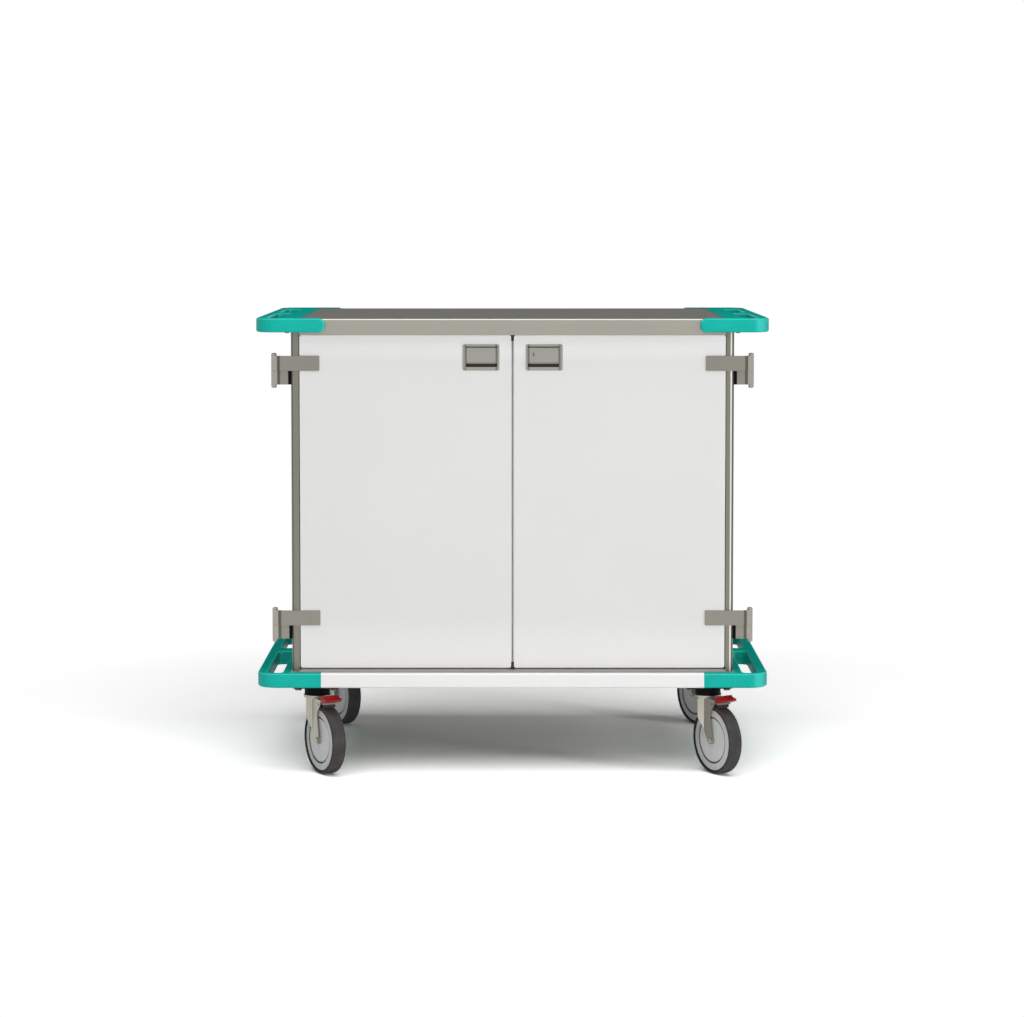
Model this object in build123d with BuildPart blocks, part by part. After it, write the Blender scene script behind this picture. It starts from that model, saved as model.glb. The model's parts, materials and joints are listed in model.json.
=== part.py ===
from build123d import *
import os

# Closed case cart: a two-door cabinet on four braked swivel casters, with a moulded
# bumper that doubles as a hand-hold along each side at deck and at top level.
# Millimetres, +Z up, front towards -Y. The origin is on the floor, under the
# middle of the cabinet.

# Whole cart
overall_width = 1124.0
overall_depth = 730.0
overall_height = 1006.5

# Casters
wheel_diameter = 150.0
wheel_width = 32.0
wheel_top_gap = 15.0
tyre_depth = 8.0
tyre_shoulder_radius = 5.0
tyre_seat_radius = 1.5
crown_height = 6.0
crown_radius = 30.0
race_gap = 1.0
race_height = 17.5
race_radius = 28.0
plate_thickness = 4.0
plate_length = 105.0
plate_breadth = 90.0
plate_corner_radius = 10.0
plate_bolt_x = 80.0
plate_bolt_y = 60.0
plate_bolt_radius = 4.5
plate_bolt_gap = 0.2
bolt_head_radius = 7.5
bolt_head_height = 5.0
bolt_nut_height = 6.0
king_pin_radius = 6.0
king_nut_radius = 11.0
king_nut_height = 6.0
king_nut_gap = 0.3
caster_side_inset = 55.5
caster_trail = 38.0
caster_swivel_angle = 30.0
swivel_running_gap = 0.08
fork_wheel_gap = 1.5
fork_sheet = 2.5
fork_crease_reach = 15.0
fork_wing_side = 10.5
fork_wing_back = 12.0
fork_tip_radius = 9.25
axle_radius = 5.0
axle_head_radius = 6.5
axle_head_height = 3.5
axle_head_round = 1.5
axle_nut_radius = 8.5
axle_nut_height = 6.0
hub_side_gap = 0.3
hub_boss_radius = 7.5
hub_boss_foot = 1.5
hub_disc_depth = 3.0
hub_groove_radius = 50.0
hub_groove_half_width = 2.0
hub_groove_depth = 7.0
hub_ring_depth = 1.5
hub_rim_depth = 2.5
hub_rim_width = 1.0
hub_edge_depth = 3.5

# The fork legs' outline, as reach from the swivel axis and rise over the axle
fork_back_bend = (4.0, 47.0)
fork_heel = (15.0, 20.0)
fork_shin = (41.6, 29.0)
fork_waist = (38.1, 56.0)
fork_throat = (52.0, 78.0)
fork_horn = (57.5, 91.0)

# Brake pedals
pedal_pivot_reach = 46.0
pedal_pivot_rise = 7.0
pedal_pin_radius = 3.0
lever_half_width = 16.5
lever_knuckle_radius = 4.5
lever_rise = 4.0
lever_thickness = 4.5
lever_reach = 65.0
shoe_near = 52.0
shoe_far = 62.0
shoe_half_width = 14.0
shoe_drop = 5.9
shoe_slope_drop = 1.4
cover_half_width = 20.0
cover_near = 60.0
cover_crown = 3.0
cover_crown_width = 3.0
cover_height = 15.0
cover_crown_slope = 1.0
cover_tread = 70.0
cover_tread_rise = 10.5
cover_far = 91.0
cover_far_rise = 9.5
cover_lip = 2.0
cover_foot = 68.0
cover_corner_radius = 12.0

# Deck
deck_height = 33.0
deck_sheet = 2.0
channel_width = 95.0
channel_sheet = 3.0
channel_lip = 22.0
channel_hole_gap = 0.5
rail_thickness = 12.0
rail_wall = 2.5
rail_edge_radius = 5.0

# Bumper mouldings
hold_outer_wall = 22.0
hold_width = 33.5
bumper_inner_wall = 18.0
bumper_corner_radius = 42.0
bumper_edge_radius = 5.0
front_hold_length = 313.0
hold_web = 41.0
rear_block_length = 104.0
hold_corner_radius = 12.0
hold_rim_radius = 4.5
bottom_arm_length = 68.0
top_bumper_height = 31.5
top_bumper_inner_wall = 40.5
top_arm_thickness = 10.0
top_arm_length = 57.0
arm_end_land = 0.4

# Bumper screws and brackets
bumper_screw_radius = 2.5
bumper_screw_inset = 7.5
bumper_screw_depth = 18.0
deck_screw_depth = 12.0
screw_end_gap = 2.0
bumper_screw_end_inset = 95.0
deck_screw_end_inset = 125.0
screw_head_radius = 5.0
screw_head_height = 3.0
bracket_sheet = 2.0
bracket_width = 40.0
bracket_drop = 30.0
bracket_reach = 18.5

# Top panel
top_panel_step = 2.0
top_panel_height = 35.5
top_sheet = 2.0
top_hem_gap = 1.0
top_bend_radius = 3.0

# Cabinet shell
post_overhang = -2.0
side_setback = 2.0
cabinet_sheet = 2.0
cabinet_rear_inset = 25.0
cabinet_flange = 28.0
post_setback = 1.0
post_width = 17.5
post_depth = 34.0
post_wall = 2.5
post_corner_radius = 8.0
post_seat_width = 21.5
frame_plate = 3.0
frame_rail_height = 24.0
sill_height = 5.0
sill_end_gap = 0.5

# Doors
door_setback = 35.0
door_thickness = 25.0
door_skin = 1.5
door_bend_radius = 1.2
door_half_gap = 3.0
door_post_gap = 1.5
door_floor_gap = 6.5
door_head_gap = 1.0
door_frame_gap = 3.0
door_corner_radius = 5.0
field_inset = 45.0
field_depth = 2.0
field_taper = 30
field_corner_radius = 10.0
gasket_width = 12.0
gasket_rest_gap = 0.3
edge_seal_gap = 0.5
edge_seal_depth = 14.0
edge_seal_setback = 3.0
edge_seal_inset = 13.0
edge_seal_nose_radius = 1.5

# Hinges
hinge_side_inset = 38.0
hinge_pivot_back = 10.0
hinge_top_drop = 78.6
hinge_bottom_rise = 94.8
hinge_barrel_radius = 6.0
hinge_barrel_end_radius = 3.5
hinge_pin_radius = 2.5
hinge_running_gap = 0.06
hinge_knuckle_gap = 0.5
hinge_upper_length = 39.2
hinge_lower_length = 37.9
hinge_plate = 3.0
strap_length = 100.5
strap_height = 33.0
strap_bend_reach = 17.0
strap_corner_radius = 1.5
strap_screw_inset = 23.5
strap_screw_half_pitch = 9.0
strap_screw_radius = 4.5
strap_screw_height = 1.5
hinge_bracket_height = 30.0
hinge_bracket_leg = 40.0
hinge_bracket_front = 5.0
hinge_spacer_thickness = 5.0
hinge_spacer_step = 2.0
hinge_pin_seat = 30.0
hinge_pin_end_gap = 1.0
bracket_screw_radius = 2.5
bracket_screw_back = 9.0
bracket_screw_half_pitch = 8.0
bracket_head_radius = 4.5
bracket_head_height = 2.0

# Latches
latch_inset = 25.8
latch_width = 81.0
latch_top_drop = 20.1
latch_height = 57.5
latch_flange = 1.5
latch_corner_radius = 4.0
latch_rim_inner = 4.7
latch_rim_outer = 7.8
latch_rim_bottom = 7.6
latch_rim_top = 4.4
latch_tray_depth = 14.0
latch_running_gap = 0.08
paddle_clearance = 1.0
paddle_slot_height = 10.0
paddle_thickness = 2.5
paddle_proud = 1.0
paddle_head = 2.0
paddle_corner_radius = 1.5
paddle_lip_depth = 7.0
paddle_lip_height = 2.0
paddle_pivot_drop = 5.5
paddle_pivot_back = 5.0
paddle_pin_radius = 2.0
paddle_ear_thickness = 3.0
paddle_ear_radius = 3.5
paddle_ear_drop = 6.0
paddle_arm_width = 6.0
paddle_arm_thickness = 3.0
arm_window_gap = 1.0
arm_window_drop = 9.5
arm_window_rise = 3.0
bolt_width = 12.0
bolt_thickness = 5.0
bolt_nose_land = 0.4
bolt_back = 12.5
bolt_reach = 0.7
bolt_tail = 16.0
bolt_window_gap = 0.5
bolt_window_drop = 6.0
bolt_window_rise = 2.5
bolt_hole_gap = 0.3
strike_thickness = 2.0
strike_rise = 24.0
strike_gap = 0.3
strike_half_width = 26.0
strike_pocket_gap = 1.0
lock_inset = 12.7
lock_rise = 17.0
lock_radius = 5.5
lock_rim = 2.5
lock_seat_depth = 4.0
lock_proud = 1.3
lock_length = 7.8
lock_edge_radius = 0.5
keyway_width = 2.0
keyway_height = 8.0
keyway_depth = 5.0
cam_half_width = 3.0
cam_reach = 8.0
cam_thickness = 1.5

# Inside
shelf_spacing = 245.0
shelf_count = 2
shelf_edge_height = 25.0
shelf_sheet = 2.0
shelf_side_gap = 1.5
shelf_overhang = 40.0
shelf_bend_radius = 2.0
standard_width = 16.0
standard_depth = 6.0
standard_wall = 1.5
standard_front_back = 87.0
standard_rear_inset = 90.0
standard_foot_gap = 20.0
standard_head_gap = 40.0
slot_pitch = 30.5
slot_width = 8.0
slot_height = 4.0
slots_each_way = 2
clip_reach = 12.0
clip_sheet = 2.0
clip_plate = 1.5
clip_height = 16.0
clip_hook_half_width = 3.5
clip_hook_half_height = 1.5

# Places worked out from the driving dimensions
half_width = overall_width / 2
half_depth = overall_depth / 2
hold_outer_x = half_width - hold_outer_wall
hold_inner_x = hold_outer_x - hold_width
deck_half_width = hold_inner_x - bumper_inner_wall
deck_half_depth = half_depth - rail_thickness
caster_height = wheel_diameter + wheel_top_gap + crown_height + race_gap + race_height + plate_thickness
caster_x = deck_half_width - caster_side_inset
caster_y = deck_half_depth - deck_sheet - channel_width / 2
axle_z = wheel_diameter / 2
deck_top_z = caster_height + deck_height
deck_middle_z = caster_height + deck_height / 2
bottom_arm_end_x = deck_half_width - bottom_arm_length
rear_hold_length = overall_depth - rail_thickness - front_hold_length - hold_web - rear_block_length
top_bumper_z = overall_height - top_bumper_height
top_panel_half_width = hold_inner_x - top_bumper_inner_wall
top_arm_end_x = top_panel_half_width - top_arm_length
top_panel_half_depth = half_depth - top_arm_thickness
top_panel_z = overall_height - top_panel_step
top_lip_z = top_panel_z - top_panel_height
cabinet_rear_y = half_depth - cabinet_rear_inset
top_hem = top_panel_half_depth - cabinet_rear_y - top_hem_gap
post_outer_x = deck_half_width + post_overhang
post_inner_x = post_outer_x - post_width
cabinet_half_width = post_outer_x - side_setback
door_front_y = -half_depth + door_setback
door_back_y = door_front_y + door_thickness
door_outer_x = post_inner_x - door_post_gap
door_bottom_z = deck_top_z + door_floor_gap
door_top_z = top_lip_z - door_head_gap
frame_face_y = door_back_y + door_frame_gap
post_front_y = door_front_y + post_setback
post_rear_y = post_front_y + post_depth
hinge_pivot_x = half_width - hinge_side_inset
hinge_pivot_y = door_front_y + hinge_pivot_back
hinge_splits = (door_top_z - hinge_top_drop, door_bottom_z + hinge_bottom_rise)
bracket_leg_x = post_outer_x + hinge_spacer_thickness
bracket_face_x = bracket_leg_x + hinge_plate
bracket_front_y = hinge_pivot_y - hinge_bracket_front
latch_inner_x = door_half_gap + latch_inset
latch_outer_x = latch_inner_x + latch_width
latch_top_z = door_top_z - latch_top_drop
latch_bottom_z = latch_top_z - latch_height
mouth_inner_x = latch_inner_x + latch_rim_inner
mouth_outer_x = latch_outer_x - latch_rim_outer
mouth_bottom_z = latch_bottom_z + latch_rim_bottom
mouth_top_z = latch_top_z - latch_rim_top
latch_middle_x = (mouth_inner_x + mouth_outer_x) / 2
paddle_bottom_z = mouth_bottom_z + paddle_slot_height
paddle_pivot_y = door_front_y + paddle_pivot_back
paddle_pivot_z = mouth_top_z - paddle_pivot_drop
bolt_y = paddle_pivot_y + bolt_back
lock_x = mouth_inner_x + lock_inset
lock_z = paddle_bottom_z + lock_rise
shelf_tops = [deck_top_z + (number + 1) * shelf_spacing for number in range(shelf_count)]
standard_places = (frame_face_y + standard_front_back, cabinet_rear_y - standard_rear_inset)
bumper_screw_x = hold_inner_x - bumper_screw_inset
bumper_screw_end = half_depth - bumper_screw_end_inset
bumper_screw_places = (-bumper_screw_end, 0.0, bumper_screw_end)
deck_screw_end = half_depth - deck_screw_end_inset
deck_screw_places = (-deck_screw_end, 0.0, deck_screw_end)
fork_inner = wheel_width / 2 + fork_wheel_gap
fork_outer = fork_inner + fork_sheet
hub_radius = wheel_diameter / 2 - tyre_depth
pedal_pivot_y = -pedal_pivot_reach
pedal_pivot_z = wheel_diameter + pedal_pivot_rise
lever_top_z = pedal_pivot_z + lever_rise
crown_top_z = caster_height - plate_thickness - race_height - race_gap
crown_low_z = crown_top_z - crown_height

# How close an edge or a face lies to the place that picks it
pick_gap = 0.1


def save(part, name):
    """Label a finished piece and write it under its own name."""
    part.label = name
    export_step(part, f"parts/{name}.step")


def grouped(*parts):
    """Several finished pieces as one group of separate solids."""
    return Compound(children=[solid for part in parts for solid in part.solids()])


def save_pair(part, name):
    """Write a right-hand piece and its mirror image for the left."""
    save(part, f"{name}_right")
    save(part.mirror(Plane.YZ), f"{name}_left")


def front_plane(y):
    """A plane facing the front at depth y, whose own axes are X and Z."""
    return Plane.XZ.offset(-y)


def side_plane(x):
    """A plane facing right at x, whose own axes are Y and Z."""
    return Plane.YZ.offset(x)


def rectangle_between(low, high, mode=Mode.ADD):
    """A sketch rectangle from its low corner to its high corner."""
    middle = ((low[0] + high[0]) / 2, (low[1] + high[1]) / 2)
    with Locations(middle):
        Rectangle(high[0] - low[0], high[1] - low[1], mode=mode)


def block(low, high, mode=Mode.ADD):
    """A box from its low corner to its high corner, added to the open part."""
    middle = tuple((a + b) / 2 for a, b in zip(low, high))
    with Locations(middle):
        Box(high[0] - low[0], high[1] - low[1], high[2] - low[2], mode=mode)


def picked(shapes, axis, place):
    """The edges or faces whose centres lie at one place along an axis."""
    return shapes.filter_by_position(axis, place - pick_gap, place + pick_gap)


# Deck
def make_deck_pan():
    """A folded floor pan: a flat sheet with a flange turned down all round."""
    with BuildPart() as pan:
        with BuildSketch(Plane.XY.offset(caster_height)):
            Rectangle(2 * deck_half_width, 2 * deck_half_depth)
        extrude(amount=deck_height)
        with BuildSketch(Plane.XY.offset(caster_height)):
            Rectangle(2 * (deck_half_width - deck_sheet), 2 * (deck_half_depth - deck_sheet))
        extrude(amount=deck_height - deck_sheet, mode=Mode.SUBTRACT)
        with BuildSketch(side_plane(-deck_half_width)):
            with Locations(*[(y, deck_middle_z) for y in deck_screw_places]):
                Circle(bumper_screw_radius)
        extrude(amount=2 * deck_half_width, mode=Mode.SUBTRACT)
    return pan.part


def make_caster_channels():
    """Two hat channels across the pan, which carry the casters."""
    half = channel_width / 2
    top_z = deck_top_z - deck_sheet
    base_z = caster_height + channel_sheet
    with BuildPart() as channels:
        for y in (-caster_y, caster_y):
            with BuildSketch(side_plane(-deck_half_width + deck_sheet)):
                rectangle_between((y - half, caster_height), (y + half, base_z))
                rectangle_between((y - half, caster_height), (y - half + channel_sheet, top_z))
                rectangle_between((y + half - channel_sheet, caster_height), (y + half, top_z))
                rectangle_between((y - half, top_z - channel_sheet), (y - half + channel_lip, top_z))
                rectangle_between((y + half - channel_lip, top_z - channel_sheet), (y + half, top_z))
            extrude(amount=2 * (deck_half_width - deck_sheet))
        with Locations(*[(x, y, base_z) for _, x, y in caster_places()]):
            with GridLocations(plate_bolt_x, plate_bolt_y, 2, 2):
                Hole(plate_bolt_radius + channel_hole_gap, depth=channel_sheet)
    return channels.part


def make_base_rail(side):
    """A white rail along the deck edge, between the bumper arms, hollow behind."""
    outer_y = side * half_depth
    inner_y = side * deck_half_depth
    wall_y = side * (half_depth - rail_wall)
    with BuildPart() as rail:
        with BuildSketch(side_plane(-bottom_arm_end_x)):
            rectangle_between(
                (min(outer_y, inner_y), caster_height),
                (max(outer_y, inner_y), deck_top_z),
            )
        extrude(amount=2 * bottom_arm_end_x)
        fillet(picked(rail.edges().filter_by(Axis.X), Axis.Y, outer_y), radius=rail_edge_radius)
        block(
            (-bottom_arm_end_x + rail_wall, min(inner_y, wall_y), caster_height + 2 * rail_wall),
            (bottom_arm_end_x - rail_wall, max(inner_y, wall_y), deck_top_z - 2 * rail_wall),
            mode=Mode.SUBTRACT,
        )
    return rail.part


# Bumpers
def rims(part, base_z, height):
    """The edges of an upright moulding's lower and upper faces."""
    return picked(part.edges(), Axis.Z, base_z) + picked(part.edges(), Axis.Z, base_z + height)


def bumper_moulding(base_z, height, inner_x, arm_end_x, arm_thickness, round_ends):
    """A C-shaped moulding for the right side, with two hand-holds through it."""
    arm_y = half_depth - arm_thickness
    front_hold_y = -half_depth + rail_thickness
    rear_hold_y = front_hold_y + front_hold_length + hold_web
    with BuildPart() as bumper:
        with BuildSketch(Plane.XY.offset(base_z)):
            with BuildLine():
                Polyline(
                    (arm_end_x, -half_depth),
                    (half_width, -half_depth),
                    (half_width, half_depth),
                    (arm_end_x, half_depth),
                    (arm_end_x, arm_y),
                    (inner_x, arm_y),
                    (inner_x, -arm_y),
                    (arm_end_x, -arm_y),
                    close=True,
                )
            make_face()
        extrude(amount=height)
        fillet(bumper.edges().filter_by(Axis.Z).group_by(Axis.X)[-1], radius=bumper_corner_radius)
        if round_ends:
            fillet(bumper.edges().filter_by(Axis.Y).group_by(Axis.X)[0], radius=(height - arm_end_land) / 2)
        outer_rims = [
            edge
            for edge in rims(bumper, base_z, height)
            if abs(abs(edge.center().Y) - half_depth) < pick_gap
            or edge.center().X > half_width - bumper_corner_radius
        ]
        fillet(outer_rims, radius=bumper_edge_radius)
        with BuildSketch(Plane.XY.offset(base_z)) as holds:
            rectangle_between((hold_inner_x, front_hold_y), (hold_outer_x, front_hold_y + front_hold_length))
            rectangle_between((hold_inner_x, rear_hold_y), (hold_outer_x, rear_hold_y + rear_hold_length))
            fillet(holds.vertices(), radius=hold_corner_radius)
        extrude(amount=height, mode=Mode.SUBTRACT)
        hold_edges = rims(bumper, base_z, height).filter_by_position(
            Axis.X, hold_inner_x - pick_gap, hold_outer_x + pick_gap
        )
        fillet(hold_edges, radius=hold_rim_radius)
    return bumper.part


def make_bottom_bumper():
    """The deck-level bumper, bored for the screws that hold it to the pan."""
    with BuildPart() as bumper:
        add(bumper_moulding(caster_height, deck_height, deck_half_width, bottom_arm_end_x,
                            rail_thickness, False))
        with BuildSketch(side_plane(deck_half_width)):
            with Locations(*[(y, deck_middle_z) for y in deck_screw_places]):
                Circle(bumper_screw_radius)
        extrude(amount=deck_screw_depth + screw_end_gap, mode=Mode.SUBTRACT)
    return bumper.part


def make_top_bumper():
    """The top-level bumper, bored from below for the bracket screws."""
    with BuildPart() as bumper:
        add(bumper_moulding(top_bumper_z, top_bumper_height, top_panel_half_width, top_arm_end_x,
                            top_arm_thickness, True))
        with BuildSketch(Plane.XY.offset(top_bumper_z)):
            with Locations(*[(bumper_screw_x, y) for y in bumper_screw_places]):
                Circle(bumper_screw_radius)
        extrude(amount=bumper_screw_depth, mode=Mode.SUBTRACT)
    return bumper.part


def make_bumper_brackets():
    """Angles on the cabinet sides, with a leg under the top bumper."""
    with BuildPart() as brackets:
        for y in bumper_screw_places:
            low_y = y - bracket_width / 2
            high_y = y + bracket_width / 2
            face_x = post_outer_x if low_y < post_rear_y else cabinet_half_width
            block(
                (face_x, low_y, top_bumper_z - bracket_drop),
                (face_x + bracket_sheet, high_y, top_bumper_z),
            )
            block(
                (face_x, low_y, top_bumper_z - bracket_sheet),
                (post_outer_x + bracket_reach, high_y, top_bumper_z),
            )
        with Locations(*[(bumper_screw_x, y, top_bumper_z) for y in bumper_screw_places]):
            Hole(bumper_screw_radius, depth=bracket_sheet)
        mirror(about=Plane.YZ)
    return brackets.part


def make_bumper_screws():
    """Pan-head screws: upwards into the top bumpers, outwards into the bottom ones."""
    head_z = top_bumper_z - bracket_sheet - screw_head_height
    head_x = deck_half_width - deck_sheet - screw_head_height
    top_planes = [Plane((bumper_screw_x, y, head_z), z_dir=(0, 0, 1)) for y in bumper_screw_places]
    side_planes = [Plane((head_x, y, deck_middle_z), z_dir=(1, 0, 0)) for y in deck_screw_places]
    top_length = screw_head_height + bracket_sheet + bumper_screw_depth - screw_end_gap
    side_length = screw_head_height + deck_sheet + deck_screw_depth
    with BuildPart() as screws:
        for planes, length in ((top_planes, top_length), (side_planes, side_length)):
            for plane in planes:
                add_screw(plane, screw_head_radius, screw_head_height, bumper_screw_radius, length)
        mirror(about=Plane.YZ)
    return screws.part


def add_screw(plane, head_radius, head_height, shank_radius, length):
    """A pan-head screw from the outer face of its head, along the plane's normal."""
    for radius, height in ((head_radius, head_height), (shank_radius, length)):
        with BuildSketch(plane) as disc:
            Circle(radius)
        extrude(disc.sketch, amount=height)


# Top panel
def make_top_panel():
    """A folded tray, open below, with a lip and a hem at the front and the back."""
    x = top_panel_half_width
    y = top_panel_half_depth
    with BuildPart() as panel:
        block((-x, -y, top_lip_z), (x, y, top_panel_z))
        fillet(panel.edges().filter_by(Axis.X).group_by(Axis.Z)[-1], radius=top_bend_radius)
        block(
            (-x + top_sheet, -y + top_sheet, top_lip_z + top_sheet),
            (x - top_sheet, y - top_sheet, top_panel_z - top_sheet),
            mode=Mode.SUBTRACT,
        )
        block(
            (-x + top_sheet, -y + top_hem, top_lip_z),
            (x - top_sheet, y - top_hem, top_lip_z + top_sheet),
            mode=Mode.SUBTRACT,
        )
        for low_x in (-x, x - top_sheet):
            block(
                (low_x, -y + top_hem, top_lip_z),
                (low_x + top_sheet, y - top_hem, top_bumper_z),
                mode=Mode.SUBTRACT,
            )
    return panel.part


# Cabinet shell
def make_side_panel():
    """The right side: a sheet with flanges turned in above and below."""
    outer = cabinet_half_width
    with BuildPart() as panel:
        with BuildSketch(front_plane(post_rear_y)):
            rectangle_between((outer - cabinet_sheet, deck_top_z), (outer, top_bumper_z))
            rectangle_between((outer - cabinet_flange, deck_top_z), (outer, deck_top_z + cabinet_sheet))
            rectangle_between((outer - cabinet_flange, top_bumper_z - cabinet_sheet), (outer, top_bumper_z))
        extrude(amount=-(cabinet_rear_y - post_rear_y))
    return panel.part


def make_rear_panel():
    """The back: a sheet whose side edges fold forwards inside the side panels."""
    outer_x = cabinet_half_width - cabinet_sheet
    with BuildPart() as panel:
        with BuildSketch(Plane.XY.offset(deck_top_z + cabinet_sheet)):
            rectangle_between((-outer_x, cabinet_rear_y - cabinet_flange), (outer_x, cabinet_rear_y))
            rectangle_between(
                (-outer_x + cabinet_sheet, cabinet_rear_y - cabinet_flange),
                (outer_x - cabinet_sheet, cabinet_rear_y - cabinet_sheet),
                mode=Mode.SUBTRACT,
            )
        extrude(amount=top_bumper_z - deck_top_z - 2 * cabinet_sheet)
    return panel.part


def make_corner_post():
    """The right front post: a hollow extrusion with a seat for the door seal."""
    with BuildPart() as post:
        with BuildSketch(Plane.XY.offset(deck_top_z)) as outline:
            rectangle_between((post_inner_x, post_front_y), (post_outer_x, post_rear_y))
            fillet(outline.vertices().group_by(Axis.Y)[0].sort_by(Axis.X)[-1], radius=post_corner_radius)
            with Locations(((post_inner_x + post_outer_x) / 2, (post_front_y + post_rear_y) / 2)):
                RectangleRounded(
                    post_width - 2 * post_wall,
                    post_depth - 2 * post_wall,
                    post_corner_radius - post_wall,
                    mode=Mode.SUBTRACT,
                )
            rectangle_between(
                (post_inner_x - post_seat_width, frame_face_y),
                (post_inner_x + post_wall / 2, frame_face_y + frame_plate),
            )
        extrude(amount=top_bumper_z - deck_top_z)
    return post.part


def make_frame_rail(low_z, high_z, lip_z):
    """A rail across the opening behind the doors, with a lip turned inwards."""
    x = post_inner_x - post_seat_width
    with BuildPart() as rail:
        block((-x, frame_face_y, low_z), (x, frame_face_y + frame_plate, high_z))
        block((-x, frame_face_y, lip_z), (x, frame_face_y + cabinet_flange, lip_z + cabinet_sheet))
    return rail.part


def make_bottom_frame_rail():
    """The lower rail of the opening, with a sill forwards under the doors."""
    x = post_inner_x - sill_end_gap
    with BuildPart() as rail:
        add(make_frame_rail(deck_top_z, door_bottom_z + frame_rail_height, deck_top_z))
        block((-x, -deck_half_depth, deck_top_z), (x, frame_face_y, deck_top_z + sill_height))
    return rail.part


def make_strikes():
    """Angles over the doors, each with a pocket for a latch bolt's nose."""
    low_z = door_top_z + bolt_reach + strike_gap
    low_x = latch_middle_x - strike_half_width
    high_x = latch_middle_x + strike_half_width
    pocket_half = bolt_width / 2 + strike_pocket_gap
    pocket_rear_y = bolt_y + bolt_thickness + strike_pocket_gap
    with BuildPart() as strikes:
        block((low_x, frame_face_y - strike_thickness, low_z), (high_x, frame_face_y, low_z + strike_rise))
        block((low_x, door_front_y, low_z), (high_x, frame_face_y, low_z + strike_thickness))
        block(
            (latch_middle_x - pocket_half, bolt_y - strike_pocket_gap, low_z),
            (latch_middle_x + pocket_half, pocket_rear_y, low_z + strike_thickness),
            mode=Mode.SUBTRACT,
        )
        mirror(about=Plane.YZ)
    return strikes.part


# Shelves
def make_shelf(top_z):
    """A pan shelf with its edges turned down."""
    x = cabinet_half_width - cabinet_sheet - standard_depth - shelf_side_gap
    low_y = standard_places[0] - shelf_overhang
    high_y = standard_places[1] + shelf_overhang
    with BuildPart() as shelf:
        block((-x, low_y, top_z - shelf_edge_height), (x, high_y, top_z))
        fillet(shelf.edges().group_by(Axis.Z)[-1], radius=shelf_bend_radius)
        block(
            (-x + shelf_sheet, low_y + shelf_sheet, top_z - shelf_edge_height),
            (x - shelf_sheet, high_y - shelf_sheet, top_z - shelf_sheet),
            mode=Mode.SUBTRACT,
        )
    return shelf.part


def make_standards():
    """Slotted channels on the cabinet sides, which hold the shelf clips."""
    outer_x = cabinet_half_width - cabinet_sheet
    inner_x = outer_x - standard_depth
    low_z = deck_top_z + standard_foot_gap
    high_z = top_lip_z - standard_head_gap
    half = standard_width / 2
    slot_heights = [
        clip_hook_z(top_z) + step * slot_pitch
        for top_z in shelf_tops
        for step in range(-slots_each_way, slots_each_way + 1)
    ]
    with BuildPart() as standards:
        for y in standard_places:
            block((inner_x, y - half, low_z), (outer_x, y + half, high_z))
            block(
                (inner_x + standard_wall, y - half + standard_wall, low_z),
                (outer_x, y + half - standard_wall, high_z),
                mode=Mode.SUBTRACT,
            )
            with BuildSketch(side_plane(inner_x)):
                with Locations(*[(y, z) for z in slot_heights]):
                    Rectangle(slot_width, slot_height)
            extrude(amount=standard_wall, mode=Mode.SUBTRACT)
        mirror(about=Plane.YZ)
    return standards.part


def clip_hook_z(shelf_top):
    """The height of the hooks of the clips under a shelf."""
    return shelf_top - shelf_edge_height - clip_height / 4


def make_shelf_clips():
    """Clips hooked in the standards, one under each corner of each shelf."""
    face_x = cabinet_half_width - cabinet_sheet - standard_depth
    half = standard_width / 2
    hook_x = face_x + standard_wall + clip_plate
    with BuildPart() as clips:
        for top_z in shelf_tops:
            under_z = top_z - shelf_edge_height
            hook_z = clip_hook_z(top_z)
            for y in standard_places:
                block((face_x - clip_reach, y - half, under_z - clip_sheet), (face_x, y + half, under_z))
                block((face_x - clip_plate, y - half, under_z - clip_height), (face_x, y + half, under_z))
                block(
                    (face_x, y - clip_hook_half_width, hook_z - clip_hook_half_height),
                    (hook_x, y + clip_hook_half_width, hook_z + clip_hook_half_height),
                )
        mirror(about=Plane.YZ)
    return clips.part


# Doors
def door_outline(inset=0.0):
    """Low and high corners of the right door, seen from the front."""
    low = (door_half_gap + inset, door_bottom_z + inset)
    high = (door_outer_x - inset, door_top_z - inset)
    return low, high


def make_door_skin():
    """The outer pan of the right door, with the latch cut-out and bolt hole."""
    low, high = door_outline()
    inner_low, inner_high = door_outline(door_skin)
    half_x = bolt_width / 2 + bolt_hole_gap
    with BuildPart() as skin:
        with BuildSketch(front_plane(door_front_y)) as face:
            rectangle_between(low, high)
            fillet(face.vertices(), radius=door_corner_radius)
        extrude(amount=-door_thickness)
        fillet(skin.faces().sort_by(Axis.Y)[0].edges(), radius=door_bend_radius)
        with BuildSketch(front_plane(door_front_y + door_skin)) as pocket:
            rectangle_between(inner_low, inner_high)
            fillet(pocket.vertices(), radius=door_corner_radius - door_skin)
        extrude(amount=-door_thickness, mode=Mode.SUBTRACT)
        with BuildSketch(front_plane(door_front_y)):
            rectangle_between(
                (mouth_inner_x - latch_flange, mouth_bottom_z - latch_flange),
                (mouth_outer_x + latch_flange, mouth_top_z + latch_flange),
            )
        extrude(amount=-door_skin, mode=Mode.SUBTRACT)
        block(
            (latch_middle_x - half_x, bolt_y - bolt_hole_gap, door_top_z - door_skin),
            (latch_middle_x + half_x, bolt_y + bolt_thickness + bolt_hole_gap, door_top_z),
            mode=Mode.SUBTRACT,
        )
    return skin.part


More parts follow.
